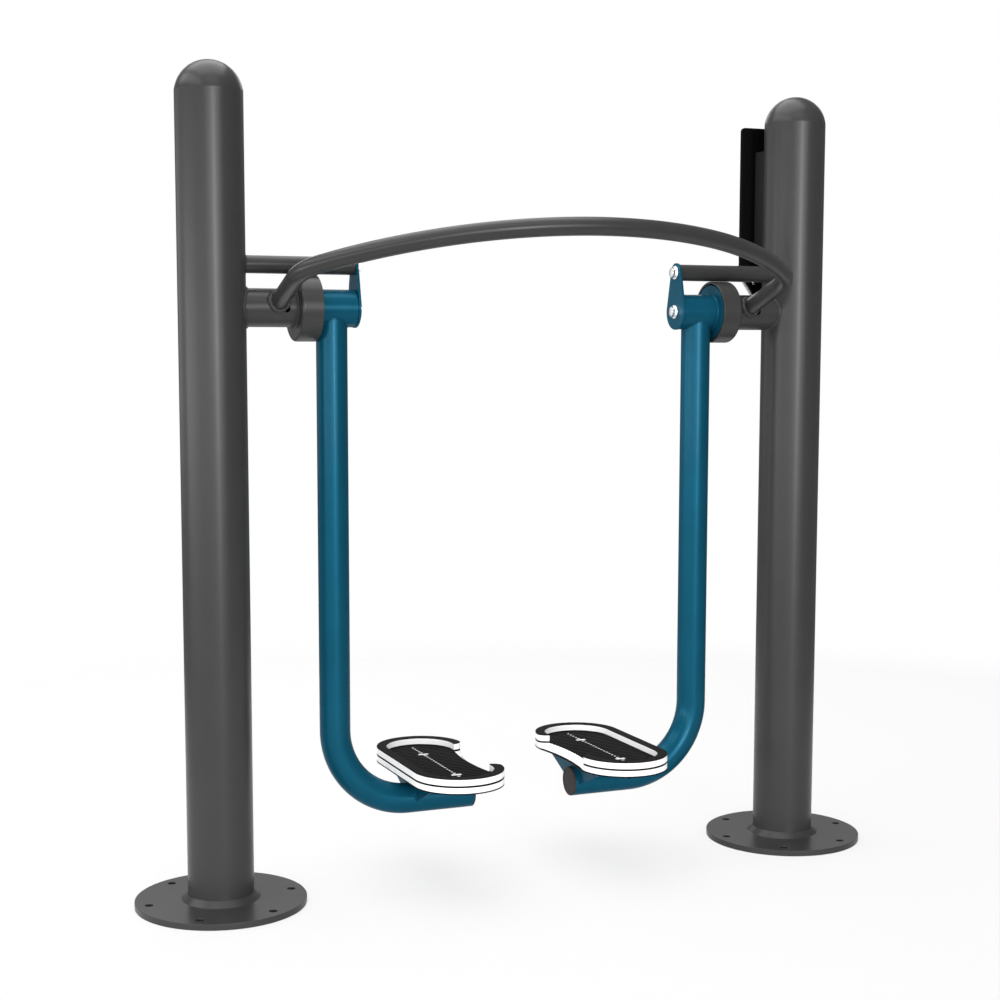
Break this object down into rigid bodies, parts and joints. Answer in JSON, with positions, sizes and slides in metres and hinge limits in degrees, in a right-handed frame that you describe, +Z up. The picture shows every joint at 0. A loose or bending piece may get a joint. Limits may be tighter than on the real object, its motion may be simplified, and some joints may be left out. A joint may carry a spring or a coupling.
{
  "type": "outdoor air walker",
  "caption": "Outdoor air walker: posts on round base flanges carry free-swinging bent-tube legs with rimmed foot boards, and an arched handlebar.",
  "frame": {"origin": "on the ground, midway between the posts from side to side and in the middle of the depth; the posts and both axles stand at y = +0.104 m", "axes": "+Z up, -Y to the front, where the handlebar is, and +X to the right as seen from the front"},
  "size_m": [1.59, 0.6007, 1.595],
  "materials": {
    "grey_paint": "satin dark grey powder coat with a fine orange peel",
    "blue_paint": "satin petrol blue powder coat",
    "bright_steel": "bright stainless fasteners",
    "ground_steel": "ground and oiled bearing steel",
    "stop_rubber": "moulded black rubber",
    "plug_plastic": "moulded black polyethylene with a fine texture",
    "board_plastic": "polyethylene sheet with black skins over a white core",
    "black_sheet": "smooth black sheet",
    "pale_sheet": "smooth pale grey sheet, blank"
  },
  "bodies": {
    "frame": {"left_post_tube": "grey_paint", "left_post_dome": "grey_paint", "left_base_flange": "grey_paint", "left_stub_arm": "grey_paint", "left_stop_drum": "grey_paint", "left_front_bumper": "stop_rubber", "left_rear_bumper": "stop_rubber", "left_axle_shaft": "ground_steel", "left_support_tube": "grey_paint", "left_link_plate": "blue_paint", "left_axle_bolt": "bright_steel", "left_axle_washer": "bright_steel", "left_support_bolt": "bright_steel", "left_support_washer": "bright_steel", "right_post_tube": "grey_paint", "right_post_dome": "grey_paint", "right_base_flange": "grey_paint", "right_stub_arm": "grey_paint", "right_stop_drum": "grey_paint", "right_front_bumper": "stop_rubber", "right_rear_bumper": "stop_rubber", "right_axle_shaft": "ground_steel", "right_support_tube": "grey_paint", "right_link_plate": "blue_paint", "right_axle_bolt": "bright_steel", "right_axle_washer": "bright_steel", "right_support_bolt": "bright_steel", "right_support_washer": "bright_steel", "handlebar": "grey_paint", "board_bracket": "grey_paint", "board_back_plate": "black_sheet", "board_front_panel": "pale_sheet", "board_left_screw": "bright_steel", "board_right_screw": "bright_steel"},
    "left_leg": {"left_hub_sleeve": "blue_paint", "left_inner_bearing": "ground_steel", "left_outer_bearing": "ground_steel", "left_stop_disc": "blue_paint", "left_leg_tube": "blue_paint", "left_leg_plug": "plug_plastic", "left_inner_saddle": "blue_paint", "left_outer_saddle": "blue_paint", "left_pedal_carrier": "blue_paint", "left_pedal_base": "board_plastic", "left_pedal_rim": "board_plastic", "left_front_pedal_screw": "bright_steel", "left_rear_pedal_screw": "bright_steel"},
    "right_leg": {"right_hub_sleeve": "blue_paint", "right_inner_bearing": "ground_steel", "right_outer_bearing": "ground_steel", "right_stop_disc": "blue_paint", "right_leg_tube": "blue_paint", "right_leg_plug": "plug_plastic", "right_inner_saddle": "blue_paint", "right_outer_saddle": "blue_paint", "right_pedal_carrier": "blue_paint", "right_pedal_base": "board_plastic", "right_pedal_rim": "board_plastic", "right_front_pedal_screw": "bright_steel", "right_rear_pedal_screw": "bright_steel"}
  },
  "joints": [
    {"name": "left_leg_swing", "type": "hinge", "parent": "frame", "child": "left_leg", "pos_m": [-0.3973, 0.1044, 1.143], "axis": [1, 0, 0], "range_deg": [-45, 45]},
    {"name": "right_leg_swing", "type": "hinge", "parent": "frame", "child": "right_leg", "pos_m": [0.3973, 0.1044, 1.143], "axis": [1, 0, 0], "range_deg": [-45, 45]}
  ]
}
